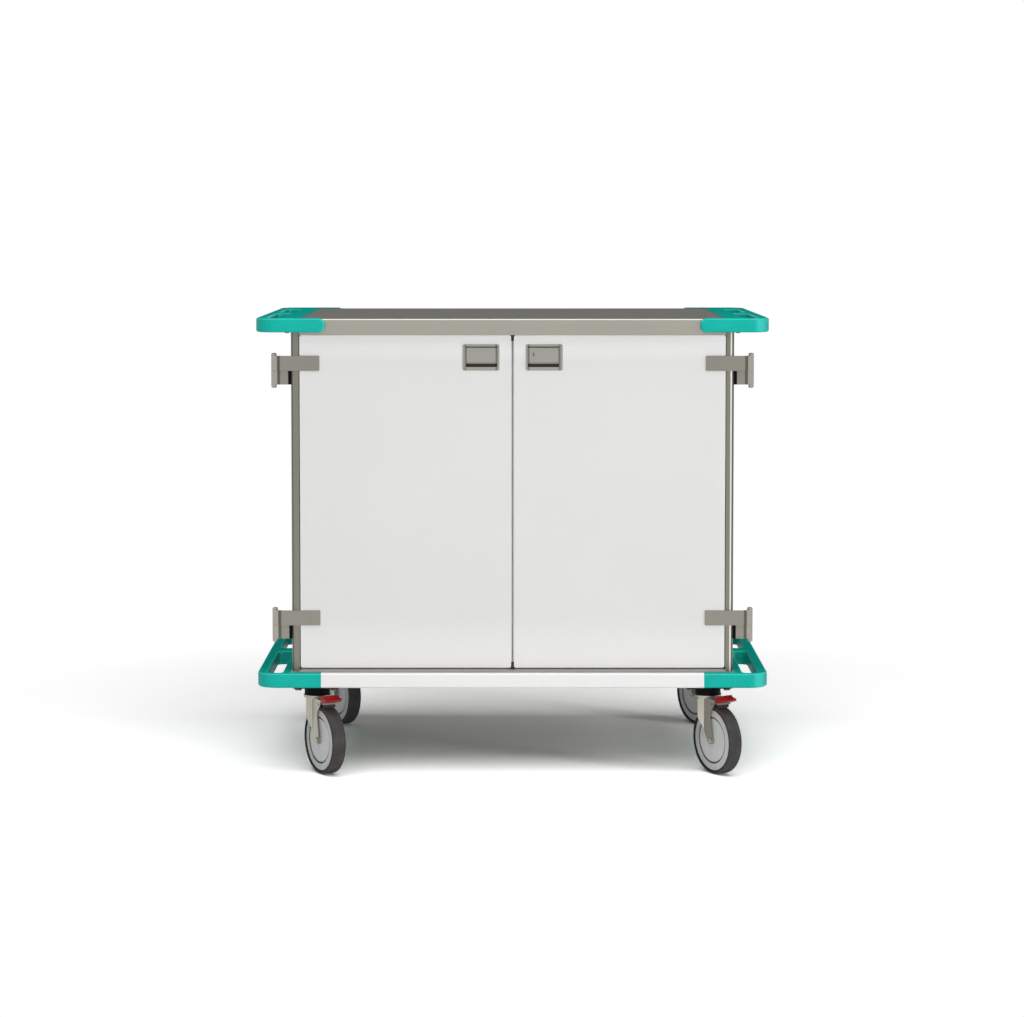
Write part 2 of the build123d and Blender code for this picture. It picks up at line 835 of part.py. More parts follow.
def make_door_liner():
    """The inner panel, set into the back of the skin, with a raised field."""
    low, high = door_outline(door_skin)
    field_low, field_high = door_outline(field_inset)
    with BuildPart() as liner:
        with BuildSketch(front_plane(door_back_y - door_skin)) as sheet:
            rectangle_between(low, high)
            fillet(sheet.vertices(), radius=door_corner_radius - door_skin)
        extrude(amount=-door_skin)
        with BuildSketch(front_plane(door_back_y)) as field:
            rectangle_between(field_low, field_high)
            fillet(field.vertices(), radius=field_corner_radius)
        extrude(amount=-field_depth, taper=field_taper)
    return liner.part


def make_door_gasket():
    """A flat ring of seal round the back of the right door."""
    low, high = door_outline()
    low = (edge_seal_gap, low[1])
    with BuildPart() as gasket:
        with BuildSketch(front_plane(door_back_y)):
            rectangle_between(low, high)
            rectangle_between(
                (low[0] + gasket_width, low[1] + gasket_width),
                (high[0] - gasket_width, high[1] - gasket_width),
                mode=Mode.SUBTRACT,
            )
        extrude(amount=-(door_frame_gap - gasket_rest_gap))
    return gasket.part


def make_edge_seal():
    """A grey strip along the meeting edge of the right door, round-nosed."""
    low_y = door_front_y + edge_seal_setback
    with BuildPart() as seal:
        with BuildSketch(Plane.XY.offset(door_bottom_z + edge_seal_inset)) as section:
            rectangle_between((edge_seal_gap, low_y), (door_half_gap, low_y + edge_seal_depth))
            fillet(section.vertices().group_by(Axis.X)[0], radius=edge_seal_nose_radius)
        extrude(amount=door_top_z - door_bottom_z - 2 * edge_seal_inset)
    return seal.part


# Hinges
def pivot_disc(z, radius, height, mode=Mode.ADD):
    """A round length on the right-hand hinge line, upwards from height z."""
    with BuildSketch(Plane.XY.offset(z)) as disc:
        with Locations((hinge_pivot_x, hinge_pivot_y)):
            Circle(radius)
    extrude(disc.sketch, amount=height, mode=mode)


def make_hinge_straps():
    """The right door's two hinge leaves, each with its knuckle and two screws."""
    bore = hinge_pin_radius + hinge_running_gap
    face_y = door_front_y
    screw_x = hinge_pivot_x - strap_length + strap_screw_inset
    with BuildPart() as straps:
        for split_z in hinge_splits:
            low_z = split_z + hinge_knuckle_gap / 2
            with BuildSketch(Plane.XY.offset(low_z)):
                with BuildLine():
                    Polyline(
                        (hinge_pivot_x - strap_length, face_y - hinge_plate),
                        (hinge_pivot_x - strap_bend_reach, face_y - hinge_plate),
                        (hinge_pivot_x, hinge_pivot_y - hinge_barrel_radius),
                        (hinge_pivot_x - hinge_barrel_radius / 2, hinge_pivot_y - hinge_barrel_radius / 2),
                        (hinge_pivot_x - strap_bend_reach - hinge_plate / 2, face_y),
                        (hinge_pivot_x - strap_length, face_y),
                        close=True,
                    )
                make_face()
            extrude(amount=strap_height)
        fillet(straps.edges().filter_by(Axis.Y).group_by(Axis.X)[0], radius=strap_corner_radius)
        for split_z in hinge_splits:
            low_z = split_z + hinge_knuckle_gap / 2
            top_z = split_z + hinge_upper_length
            pivot_disc(low_z, hinge_barrel_radius, top_z - low_z)
            fillet(picked(straps.faces(), Axis.Z, top_z).edges(), radius=hinge_barrel_end_radius)
            pivot_disc(low_z, bore, strap_height, mode=Mode.SUBTRACT)
            middle_z = low_z + strap_height / 2
            with BuildSketch(front_plane(face_y - hinge_plate)):
                with Locations((screw_x, middle_z)):
                    with GridLocations(0.0, 2 * strap_screw_half_pitch, 1, 2):
                        Circle(strap_screw_radius)
            extrude(amount=strap_screw_height)
    return straps.part


def make_hinge_brackets():
    """The four fixed leaves: a lower knuckle, a front plate and a side leg."""
    with BuildPart() as brackets:
        for split_z in hinge_splits:
            top_z = split_z - hinge_knuckle_gap / 2
            bottom_z = split_z - hinge_lower_length
            with BuildSketch(Plane.XY.offset(top_z - hinge_bracket_height)) as plan:
                with BuildLine():
                    Polyline(
                        (hinge_pivot_x, bracket_front_y),
                        (bracket_leg_x, bracket_front_y),
                        (bracket_leg_x, bracket_front_y + hinge_bracket_leg),
                        (bracket_face_x, bracket_front_y + hinge_bracket_leg),
                        (bracket_face_x, bracket_front_y + hinge_plate),
                        (hinge_pivot_x, bracket_front_y + hinge_plate),
                        close=True,
                    )
                make_face()
                bend = plan.vertices().group_by(Axis.X)[0].sort_by(Axis.Y)[0]
                fillet(bend, radius=hinge_plate)
            extrude(amount=hinge_bracket_height)
            pivot_disc(bottom_z, hinge_barrel_radius, top_z - bottom_z)
            fillet(picked(brackets.faces(), Axis.Z, bottom_z).edges(), radius=hinge_barrel_end_radius)
            pivot_disc(top_z - hinge_pin_seat, hinge_pin_radius, hinge_pin_seat, mode=Mode.SUBTRACT)
            with BuildSketch(side_plane(bracket_leg_x)):
                with Locations(*bracket_screw_places(split_z)):
                    Circle(bracket_screw_radius)
            extrude(amount=hinge_plate, mode=Mode.SUBTRACT)
        mirror(about=Plane.YZ)
    return brackets.part


def bracket_screw_places(split_z):
    """Where a bracket's two screws go, as depth and height."""
    middle_z = split_z - hinge_knuckle_gap / 2 - hinge_bracket_height / 2
    y = hinge_pivot_y + bracket_screw_back
    return [(y, middle_z - bracket_screw_half_pitch), (y, middle_z + bracket_screw_half_pitch)]


def make_hinge_pins():
    """A pin pressed in each bracket, standing up into the door's knuckle."""
    with BuildPart() as pins:
        for split_z in hinge_splits:
            base_z = split_z - hinge_knuckle_gap / 2 - hinge_pin_seat
            end_z = split_z + hinge_knuckle_gap / 2 + strap_height - hinge_pin_end_gap
            pivot_disc(base_z, hinge_pin_radius, end_z - base_z)
        mirror(about=Plane.YZ)
    return pins.part


def make_hinge_spacers():
    """Black blocks between each bracket's side leg and the post."""
    with BuildPart() as spacers:
        for split_z in hinge_splits:
            top_z = split_z - hinge_knuckle_gap / 2
            block(
                (post_outer_x, bracket_front_y, top_z - hinge_bracket_height),
                (bracket_leg_x, bracket_front_y + hinge_bracket_leg - hinge_spacer_step, top_z),
            )
            with BuildSketch(side_plane(post_outer_x)):
                with Locations(*bracket_screw_places(split_z)):
                    Circle(bracket_screw_radius)
            extrude(amount=hinge_spacer_thickness, mode=Mode.SUBTRACT)
        mirror(about=Plane.YZ)
    return spacers.part


def make_bracket_screws():
    """Pan-head screws through each bracket and spacer, up to the post."""
    head_x = bracket_face_x + bracket_head_height
    with BuildPart() as screws:
        for split_z in hinge_splits:
            for y, z in bracket_screw_places(split_z):
                add_screw(
                    Plane(origin=(head_x, y, z), x_dir=(0, 1, 0), z_dir=(-1, 0, 0)),
                    bracket_head_radius,
                    bracket_head_height,
                    bracket_screw_radius,
                    head_x - post_outer_x,
                )
        mirror(about=Plane.YZ)
    return screws.part


# Latches
def make_latch_pan():
    """The recessed dish of the right latch, with its frame on the door face."""
    back_y = door_front_y + latch_tray_depth
    window_half = paddle_arm_width / 2 + arm_window_gap
    with BuildPart() as pan:
        with BuildSketch(front_plane(door_front_y - latch_flange)) as frame:
            rectangle_between((latch_inner_x, latch_bottom_z), (latch_outer_x, latch_top_z))
            fillet(frame.vertices(), radius=latch_corner_radius)
        extrude(amount=-latch_flange)
        block(
            (mouth_inner_x - latch_flange, door_front_y, mouth_bottom_z - latch_flange),
            (mouth_outer_x + latch_flange, back_y, mouth_top_z + latch_flange),
        )
        block(
            (mouth_inner_x, door_front_y - latch_flange, mouth_bottom_z),
            (mouth_outer_x, back_y - latch_flange, mouth_top_z),
            mode=Mode.SUBTRACT,
        )
        block(
            (latch_middle_x - window_half, back_y - latch_flange, paddle_pivot_z - arm_window_drop),
            (latch_middle_x + window_half, back_y, paddle_pivot_z + arm_window_rise),
            mode=Mode.SUBTRACT,
        )
        with BuildSketch(side_plane(mouth_inner_x - latch_flange)):
            with Locations((paddle_pivot_y, paddle_pivot_z)):
                Circle(paddle_pin_radius + latch_running_gap)
        extrude(amount=mouth_outer_x - mouth_inner_x + 2 * latch_flange, mode=Mode.SUBTRACT)
    return pan.part


def make_paddle(locking):
    """The pull: a plate with a finger lip, its pivot pin and the arm behind."""
    low_x = mouth_inner_x + paddle_clearance
    high_x = mouth_outer_x - paddle_clearance
    face_y = door_front_y - paddle_proud
    top_z = paddle_pivot_z + paddle_head
    arm_half = paddle_arm_width / 2
    with BuildPart() as paddle:
        block((low_x, face_y, paddle_bottom_z), (high_x, face_y + paddle_thickness, top_z))
        fillet(paddle.edges().filter_by(Axis.Y), radius=paddle_corner_radius)
        block(
            (low_x, face_y, paddle_bottom_z),
            (high_x, face_y + paddle_lip_depth, paddle_bottom_z + paddle_lip_height),
        )
        for ear_x in (low_x, high_x - paddle_ear_thickness):
            with BuildSketch(side_plane(ear_x)):
                rectangle_between((door_front_y, paddle_pivot_z - paddle_ear_drop), (paddle_pivot_y, top_z))
                with Locations((paddle_pivot_y, paddle_pivot_z)):
                    Circle(paddle_ear_radius)
            extrude(amount=paddle_ear_thickness)
        with BuildSketch(side_plane(mouth_inner_x - latch_flange)):
            with Locations((paddle_pivot_y, paddle_pivot_z)):
                Circle(paddle_pin_radius)
        extrude(amount=mouth_outer_x - mouth_inner_x + 2 * latch_flange)
        block(
            (latch_middle_x - arm_half, door_front_y, paddle_pivot_z - paddle_arm_thickness / 2),
            (latch_middle_x + arm_half, bolt_y + bolt_thickness, paddle_pivot_z + paddle_arm_thickness / 2),
        )
        if locking:
            with BuildSketch(front_plane(face_y + paddle_thickness)):
                with Locations((lock_x, lock_z)):
                    Circle(lock_radius + lock_rim)
            extrude(amount=-lock_seat_depth)
            with BuildSketch(front_plane(face_y)):
                with Locations((lock_x, lock_z)):
                    Circle(lock_radius + latch_running_gap)
            extrude(amount=-(paddle_thickness + lock_seat_depth), mode=Mode.SUBTRACT)
    return paddle.part


def make_latch_bolt():
    """The upright bolt, with a window for the paddle's arm and a round nose."""
    window_half = paddle_arm_width / 2 + bolt_window_gap
    with BuildPart() as bolt:
        block(
            (latch_middle_x - bolt_width / 2, bolt_y, paddle_pivot_z - bolt_tail),
            (latch_middle_x + bolt_width / 2, bolt_y + bolt_thickness, door_top_z + bolt_reach),
        )
        nose = bolt.edges().filter_by(Axis.X).group_by(Axis.Z)[-1]
        fillet(nose, radius=(bolt_thickness - bolt_nose_land) / 2)
        block(
            (latch_middle_x - window_half, bolt_y, paddle_pivot_z - bolt_window_drop),
            (latch_middle_x + window_half, bolt_y + bolt_thickness, paddle_pivot_z + bolt_window_rise),
            mode=Mode.SUBTRACT,
        )
    return bolt.part


def make_lock_cylinder():
    """The key plug in the right paddle, with its keyway and the cam behind it."""
    front_y = door_front_y - lock_proud
    back_y = front_y + lock_length
    with BuildPart() as cylinder:
        with BuildSketch(front_plane(front_y)):
            with Locations((lock_x, lock_z)):
                Circle(lock_radius)
        extrude(amount=-lock_length)
        fillet(cylinder.faces().sort_by(Axis.Y)[0].edges(), radius=lock_edge_radius)
        with BuildSketch(front_plane(front_y)):
            with Locations((lock_x, lock_z)):
                Rectangle(keyway_width, keyway_height)
        extrude(amount=-keyway_depth, mode=Mode.SUBTRACT)
        block(
            (lock_x - cam_half_width, back_y, lock_z - cam_half_width),
            (lock_x + cam_half_width, back_y + cam_thickness, lock_z + cam_reach),
        )
    return cylinder.part


# Casters, each made round its own swivel axis with its trail towards -Y
def caster_places():
    """The four casters' names and floor positions."""
    ends = (("front", -caster_y), ("rear", caster_y))
    sides = (("left", -caster_x), ("right", caster_x))
    return [(f"{end}_{side}", x, y) for end, y in ends for side, x in sides]


def caster_centres():
    """The floor positions alone."""
    return [(x, y) for _, x, y in caster_places()]


def make_caster_plates():
    """Four mounting plates, each with its upper race, king pin and nut."""
    plate_low_z = caster_height - plate_thickness
    race_low_z = plate_low_z - race_height
    nut_top_z = crown_low_z - king_nut_gap
    with BuildPart() as plates:
        with BuildSketch(Plane.XY.offset(plate_low_z)):
            with Locations(*caster_centres()):
                RectangleRounded(plate_length, plate_breadth, plate_corner_radius)
                with GridLocations(plate_bolt_x, plate_bolt_y, 2, 2):
                    Circle(plate_bolt_radius, mode=Mode.SUBTRACT)
        extrude(amount=plate_thickness)
        with BuildSketch(Plane.XY.offset(plate_low_z)):
            with Locations(*caster_centres()):
                Circle(race_radius)
        extrude(amount=-race_height)
        with BuildSketch(Plane.XY.offset(race_low_z)):
            with Locations(*caster_centres()):
                Circle(king_pin_radius)
        extrude(amount=nut_top_z - race_low_z)
        with BuildSketch(Plane.XY.offset(nut_top_z)):
            with Locations(*caster_centres()):
                RegularPolygon(king_nut_radius, 6)
        extrude(amount=-king_nut_height)
    return plates.part


def make_caster_bolts():
    """Hexagon bolts up through the plates and channels, with nuts above."""
    head_low_z = caster_height - plate_thickness - bolt_head_height
    nut_low_z = caster_height + channel_sheet
    with BuildPart() as bolts:
        for low_z, high_z, hexagonal in (
            (head_low_z, head_low_z + bolt_head_height, True),
            (head_low_z, nut_low_z, False),
            (nut_low_z, nut_low_z + bolt_nut_height, True),
        ):
            with BuildSketch(Plane.XY.offset(low_z)):
                with Locations(*caster_centres()):
                    with GridLocations(plate_bolt_x, plate_bolt_y, 2, 2):
                        if hexagonal:
                            RegularPolygon(bolt_head_radius, 6)
                        else:
                            Circle(plate_bolt_radius - plate_bolt_gap)
            extrude(amount=high_z - low_z)
    return bolts.part


def cross_hole(y, z, radius):
    """A hole right across the open fork, at depth y and height z."""
    with BuildSketch(side_plane(-fork_outer)) as hole:
        with Locations((y, z)):
            Circle(radius)
    extrude(hole.sketch, amount=2 * fork_outer, mode=Mode.SUBTRACT)


def fork_point(place):
    """A point of the fork's outline, as depth and height."""
    reach, rise = place
    return (-reach, axle_z + rise)


def fork_side_view(half_width, legs_top_z):
    """The outline of the fork's legs from the side, as a solid right across it."""
    horn_y, horn_z = fork_point(fork_horn)
    throat_y, throat_z = fork_point(fork_throat)
    back_y, back_z = fork_point(fork_back_bend)
    with BuildPart() as view:
        with BuildSketch(side_plane(-half_width)):
            with Locations((-caster_trail, axle_z)):
                Circle(fork_tip_radius)
            with BuildLine():
                Line(fork_point(fork_heel), fork_point(fork_shin))
            make_hull()
            with BuildLine():
                Polyline(
                    (throat_y, throat_z),
                    (horn_y, horn_z),
                    (back_y, legs_top_z),
                    (back_y, back_z),
                    fork_point(fork_heel),
                    fork_point(fork_shin),
                    fork_point(fork_waist),
                )
                Spline(
                    fork_point(fork_waist),
                    (throat_y, throat_z),
                    tangents=((0, 1), (horn_y - throat_y, horn_z - throat_z)),
                )
            make_face()
        extrude(amount=2 * half_width)
    return view.part


def make_caster_fork():
    """A pressed fork: a round crown, and two legs whose back edges flare out."""
    wing_x = fork_outer + fork_wing_side
    wing_y = -fork_crease_reach + fork_wing_back
    legs_top_z = crown_low_z + crown_height / 2
    horn_y, horn_z = fork_point(fork_horn)
    with BuildPart() as fork:
        with BuildSketch(Plane.XY):
            with BuildLine():
                Polyline(
                    (fork_inner, horn_y),
                    (fork_outer, horn_y),
                    (fork_outer, -fork_crease_reach),
                    (wing_x, wing_y),
                    (wing_x - fork_sheet, wing_y),
                    (fork_inner, -fork_crease_reach),
                    close=True,
                )
            make_face()
            mirror(about=Plane.YZ)
        extrude(amount=legs_top_z)
        add(fork_side_view(wing_x, legs_top_z), mode=Mode.INTERSECT)
        with BuildSketch(side_plane(-fork_inner)):
            with BuildLine():
                Polyline(
                    (0.0, legs_top_z),
                    (horn_y, horn_z),
                    (horn_y, horn_z - fork_sheet),
                    (0.0, legs_top_z - fork_sheet),
                    close=True,
                )
            make_face()
        extrude(amount=2 * fork_inner)
        with BuildSketch(Plane.XY.offset(crown_low_z)):
            Circle(crown_radius)
        extrude(amount=crown_height)
        with BuildSketch(Plane.XY.offset(crown_low_z)):
            Circle(king_pin_radius + swivel_running_gap)
        extrude(amount=crown_height, mode=Mode.SUBTRACT)
        cross_hole(-caster_trail, axle_z, axle_radius + swivel_running_gap)
        cross_hole(pedal_pivot_y, pedal_pivot_z, pedal_pin_radius + swivel_running_gap)
    return fork.part


def make_axle():
    """The axle bolt, with a button head on one leg and its nut on the other."""
    with BuildPart() as axle:
        with BuildSketch(side_plane(-fork_outer)):
            with Locations((-caster_trail, axle_z)):
                Circle(axle_head_radius)
        extrude(amount=-axle_head_height)
        fillet(axle.faces().sort_by(Axis.X)[0].edges(), radius=axle_head_round)
        with BuildSketch(side_plane(-fork_outer)):
            with Locations((-caster_trail, axle_z)):
                Circle(axle_radius)
        extrude(amount=2 * fork_outer)
        with BuildSketch(side_plane(fork_outer)):
            with Locations((-caster_trail, axle_z)):
                RegularPolygon(axle_nut_radius, 6)
        extrude(amount=axle_nut_height)
    return axle.part


def make_wheel_hub():
    """The wheel's centre: a disc and a ring, with a groove between them."""
    bore = axle_radius + swivel_running_gap
    boss = fork_inner - hub_side_gap
    face = wheel_width / 2
    half_section = [
        (bore, boss),
        (hub_boss_radius, boss),
        (hub_boss_radius + hub_boss_foot, face - hub_disc_depth),
        (hub_groove_radius - hub_groove_half_width, face - hub_disc_depth),
        (hub_groove_radius, face - hub_groove_depth),
        (hub_groove_radius + hub_groove_half_width, face - hub_ring_depth),
        (hub_radius - hub_rim_width, face - hub_rim_depth),
        (hub_radius, face - hub_edge_depth),
    ]
    other_half = [(radius, -across) for radius, across in reversed(half_section)]
    with BuildPart() as hub:
        with BuildSketch(Plane.XY):
            with BuildLine():
                Polyline(*half_section, *other_half, close=True)
            make_face()
        revolve(axis=Axis.Y)
    return hub.part


def make_tyre():
    """The tread: a rubber band, round-shouldered, round the hub."""
    with BuildPart() as tyre:
        with BuildSketch(Plane.XY) as section:
            rectangle_between((hub_radius, -wheel_width / 2), (wheel_diameter / 2, wheel_width / 2))
            fillet(section.vertices().group_by(Axis.X)[-1], radius=tyre_shoulder_radius)
            fillet(section.vertices().group_by(Axis.X)[0], radius=tyre_seat_radius)
        revolve(axis=Axis.Y)
    return tyre.part


def make_brake_lever():
    """The steel lever over the tyre, with its knuckle and pivot pin."""
    with BuildPart() as lever:
        with BuildSketch(side_plane(-lever_half_width)):
            with Locations((pedal_pivot_y, pedal_pivot_z)):
                Circle(lever_knuckle_radius)
            rectangle_between((-lever_reach, lever_top_z - lever_thickness), (pedal_pivot_y, lever_top_z))
        extrude(amount=2 * lever_half_width)
        with BuildSketch(side_plane(-fork_outer)):
            with Locations((pedal_pivot_y, pedal_pivot_z)):
                Circle(pedal_pin_radius)
        extrude(amount=2 * fork_outer)
    return lever.part


def make_brake_shoe():
    """The block under the lever, which the pedal presses on the tyre."""
    top_z = lever_top_z - lever_thickness
    with BuildPart() as shoe:
        with BuildSketch(side_plane(-shoe_half_width)):
            with BuildLine():
                Polyline(
                    (-shoe_near, top_z),
                    (-shoe_far, top_z),
                    (-shoe_far, top_z - shoe_drop - shoe_slope_drop),
                    (-shoe_near, top_z - shoe_drop),
                    close=True,
                )
            make_face()
        extrude(amount=2 * shoe_half_width)
    return shoe.part


def make_pedal_cover():
    """The red tread for the foot, on top of the lever."""
    crown_y = -cover_near - cover_crown
    with BuildPart() as cover:
        with BuildSketch(side_plane(-cover_half_width)):
            with BuildLine():
                Polyline(
                    (-cover_near, lever_top_z),
                    (-cover_near, lever_top_z + cover_height - cover_lip),
                    (crown_y, lever_top_z + cover_height),
                    (crown_y - cover_crown_width, lever_top_z + cover_height - cover_crown_slope),
                    (-cover_tread, lever_top_z + cover_tread_rise),
                    (-cover_far, lever_top_z + cover_far_rise),
                    (-cover_far, lever_top_z + cover_far_rise - cover_lip),
                    (-cover_foot, lever_top_z),
                    close=True,
                )
            make_face()
        extrude(amount=2 * cover_half_width)
        with BuildSketch(Plane.XY.offset(lever_top_z)) as plan:
            rectangle_between((-cover_half_width, -cover_far), (cover_half_width, -cover_near))
            fillet(plan.vertices().group_by(Axis.Y)[0], radius=cover_corner_radius)
        extrude(amount=cover_height, mode=Mode.INTERSECT)
    return cover.part


def save_casters():
    """One caster's moving pieces, swivelled and written at each corner."""
    fork = make_caster_fork()
    axle = make_axle()
    hub = make_wheel_hub()
    tyre = make_tyre()
    pedal = grouped(make_brake_lever(), make_brake_shoe(), make_pedal_cover())
    for place, x, y in caster_places():
        swivelled = Location((x, y, 0), (0, 0, caster_swivel_angle))
        wheel_centre = swivelled * Location((0, -caster_trail, axle_z), (0, 0, 90))
        save(grouped(fork.moved(swivelled), axle.moved(swivelled)), f"caster_fork_{place}")
        save(hub.moved(wheel_centre), f"wheel_hub_{place}")
        save(tyre.moved(wheel_centre), f"wheel_tyre_{place}")
        save(pedal.moved(swivelled), f"brake_pedal_{place}")


# Every piece, written under its own name
os.makedirs("parts", exist_ok=True)
save(make_deck_pan(), "deck_pan")
save(make_caster_channels(), "caster_channels")
save(make_base_rail(side=-1), "front_base_rail")
save(make_base_rail(side=1), "rear_base_rail")
save_pair(make_bottom_bumper(), "bottom_bumper")
save_pair(make_top_bumper(), "top_bumper")
save(make_bumper_brackets(), "bumper_brackets")
save(make_top_panel(), "top_panel")
save_pair(make_side_panel(), "side_panel")
save(make_rear_panel(), "rear_panel")
save_pair(make_corner_post(), "corner_post")
save(
    make_frame_rail(door_top_z - frame_rail_height, top_panel_z - top_sheet, top_bumper_z - cabinet_sheet),
    "top_frame_rail",
)
save(make_bottom_frame_rail(), "bottom_frame_rail")
save(make_strikes(), "latch_strikes")
save(make_standards(), "shelf_standards")
save(make_shelf_clips(), "shelf_clips")
for shelf_name, shelf_top in zip(("shelf_lower", "shelf_upper"), shelf_tops):
    save(make_shelf(shelf_top), shelf_name)
save(grouped(make_hinge_brackets(), make_hinge_pins()), "hinge_brackets")
save(make_hinge_spacers(), "hinge_spacers")
save(grouped(make_bumper_screws(), make_bracket_screws()), "pan_head_screws")
save_pair(make_door_skin(), "door_skin")
save_pair(make_door_liner(), "door_liner")
save_pair(make_door_gasket(), "door_gasket")
save_pair(make_edge_seal(), "door_edge_seal")
save_pair(make_hinge_straps(), "hinge_straps")
save_pair(make_latch_pan(), "latch_pan")
save_pair(make_latch_bolt(), "latch_bolt")
save(make_paddle(locking=True), "latch_paddle_right")
save(make_paddle(locking=False).mirror(Plane.YZ), "latch_paddle_left")
save(make_lock_cylinder(), "lock_cylinder")
save(make_caster_plates(), "caster_plates")
save(make_caster_bolts(), "caster_bolts")
save_casters()
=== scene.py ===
import json
import math

import bpy
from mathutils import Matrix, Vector


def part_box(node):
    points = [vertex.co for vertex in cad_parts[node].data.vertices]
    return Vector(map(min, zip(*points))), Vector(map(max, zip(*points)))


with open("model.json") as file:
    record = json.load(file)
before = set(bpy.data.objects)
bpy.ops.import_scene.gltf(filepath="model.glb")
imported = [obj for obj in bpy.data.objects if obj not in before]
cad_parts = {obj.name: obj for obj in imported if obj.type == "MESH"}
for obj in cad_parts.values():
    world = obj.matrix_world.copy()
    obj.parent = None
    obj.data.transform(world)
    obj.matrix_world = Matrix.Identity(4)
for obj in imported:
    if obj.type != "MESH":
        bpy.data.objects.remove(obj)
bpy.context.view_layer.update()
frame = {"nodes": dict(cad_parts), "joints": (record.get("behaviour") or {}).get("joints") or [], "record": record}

# The photograph's frame and the camera's place in front of the cart
image_width = 1024
image_height = 1017
focal_px = 2785.0
camera_aside = -0.0012
camera_ahead = 6.062
camera_height = 1.2237
camera_pitch = math.radians(3.5)
centre_row_px = 388.5
sensor_width = 36.0
bumper_front_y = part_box("front_base_rail")[0].y
cart_middle = Vector((0.0, 0.0, 0.5))

# Studio
floor_half = 16.0
shadow_middle = (0.0, 0.2, 0.0)
white_from = 0.95
white_to = 1.5
floor_albedo = 0.80
floor_seen_gain = 3.0
world_strength = 0.07
world_tint = (1.0, 0.995, 0.985, 1.0)

# How a painted band's edge fades, in metres
crisp = 0.0008

# Brushing runs along the axis with the small scale
along_x = (8.0, 900.0, 900.0)
along_z = (900.0, 900.0, 8.0)
along_worktop = (6.0, 700.0, 700.0)

# White paint, with painted light on level faces and at the doors' head and foot
paint = (0.765, 0.760, 0.755)
level_painted_light = (0.98, 0.98, 0.975)
head_painted_light = (0.99, 0.985, 0.98)
foot_painted_light = (0.865, 0.86, 0.855)
door_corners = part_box("door_skin_right")
door_front_y = door_corners[0].y
door_foot_z = door_corners[0].z
door_head_z = door_corners[1].z
head_fade = 0.060
foot_fade = 0.11

# Bumpers, with a painted highlight on their round top edges and right-facing corners, and a slight painted shade
# where they lie level
bumper_teal = (0.010, 0.460, 0.385)
painted_highlight_teal = (0.045, 0.62, 0.54)
level_shade_teal = (0.008, 0.46, 0.38)

# Worktop, with a painted highlight on its front bend, painted shade on its top, and dark on faces that look down
side_steel = (0.40, 0.384, 0.337)
bend_highlight_steel = (0.98, 0.96, 0.89)
top_shade_and_underside_steel = (0.105, 0.101, 0.085)
worktop_tint = (0.18, 0.18, 0.17, 1.0)
worktop_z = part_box("top_panel")[1].z
top_shade_from_z = worktop_z - 0.02
top_shade_to_z = worktop_z - 0.01

# Posts, with a painted highlight line on the right one and a painted shade line along both outer edges
post_grey = (0.24, 0.235, 0.20)
post_painted_highlight = (0.90, 0.89, 0.83)
post_painted_shade = (0.12, 0.12, 0.10)
post_highlight_x = 0.4797
post_highlight_half = 0.0015
post_highlight_soft = 0.0006
post_shade_x = 0.4836
post_shade_half = 0.0014
post_shade_soft = 0.001

# Hinges, with a painted shade beside the barrel and a painted highlight on the barrel
hinge_grey = (0.285, 0.276, 0.240)
barrel_painted_highlight = (0.38, 0.37, 0.325)
hinge_dark = (0.12, 0.117, 0.10)
barrel_inner_x = 0.5165
hinge_shade_width = 0.0065
barrel_fade = 0.001

# Latches, with painted shade in a channel on each side of the paddle and in the hollow under it
latch_grey = (0.38, 0.372, 0.335)
channel_painted_shade = (0.22, 0.215, 0.18)
hollow_painted_shade = (0.05, 0.047, 0.04)
latch_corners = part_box("latch_pan_right")
latch_middle_x = (latch_corners[0].x + latch_corners[1].x) / 2
latch_half_width = (latch_corners[1].x - latch_corners[0].x) / 2
channel_outer_x = latch_half_width - 0.0045
channel_inner_x = latch_half_width - 0.0085
finger_slot_z = 0.9045
slot_soft = 0.001
hollow_from_y = door_front_y + 0.002
hollow_to_y = door_front_y + 0.007

# Lock, with painted shade in the keyway
lock_grey = (0.36, 0.352, 0.315)
keyway_painted_shade = (0.10, 0.098, 0.085)
lock_face_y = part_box("lock_cylinder")[0].y
keyway_from_y = lock_face_y + 0.0003
keyway_to_y = lock_face_y + 0.0006

# Brake pedals
cover_red = (0.33, 0.008, 0.010)
lever_grey = (0.22, 0.21, 0.18)
shoe_black = (0.012, 0.012, 0.012)
cover_z = 0.161
shoe_z = 0.1565
parting = 0.0001

# Wheels, with painted shade in the hubs' groove
boss_radius = 0.0095
groove_inner_radius = 0.0480
groove_outer_radius = 0.0520
wall_radius = 0.0705


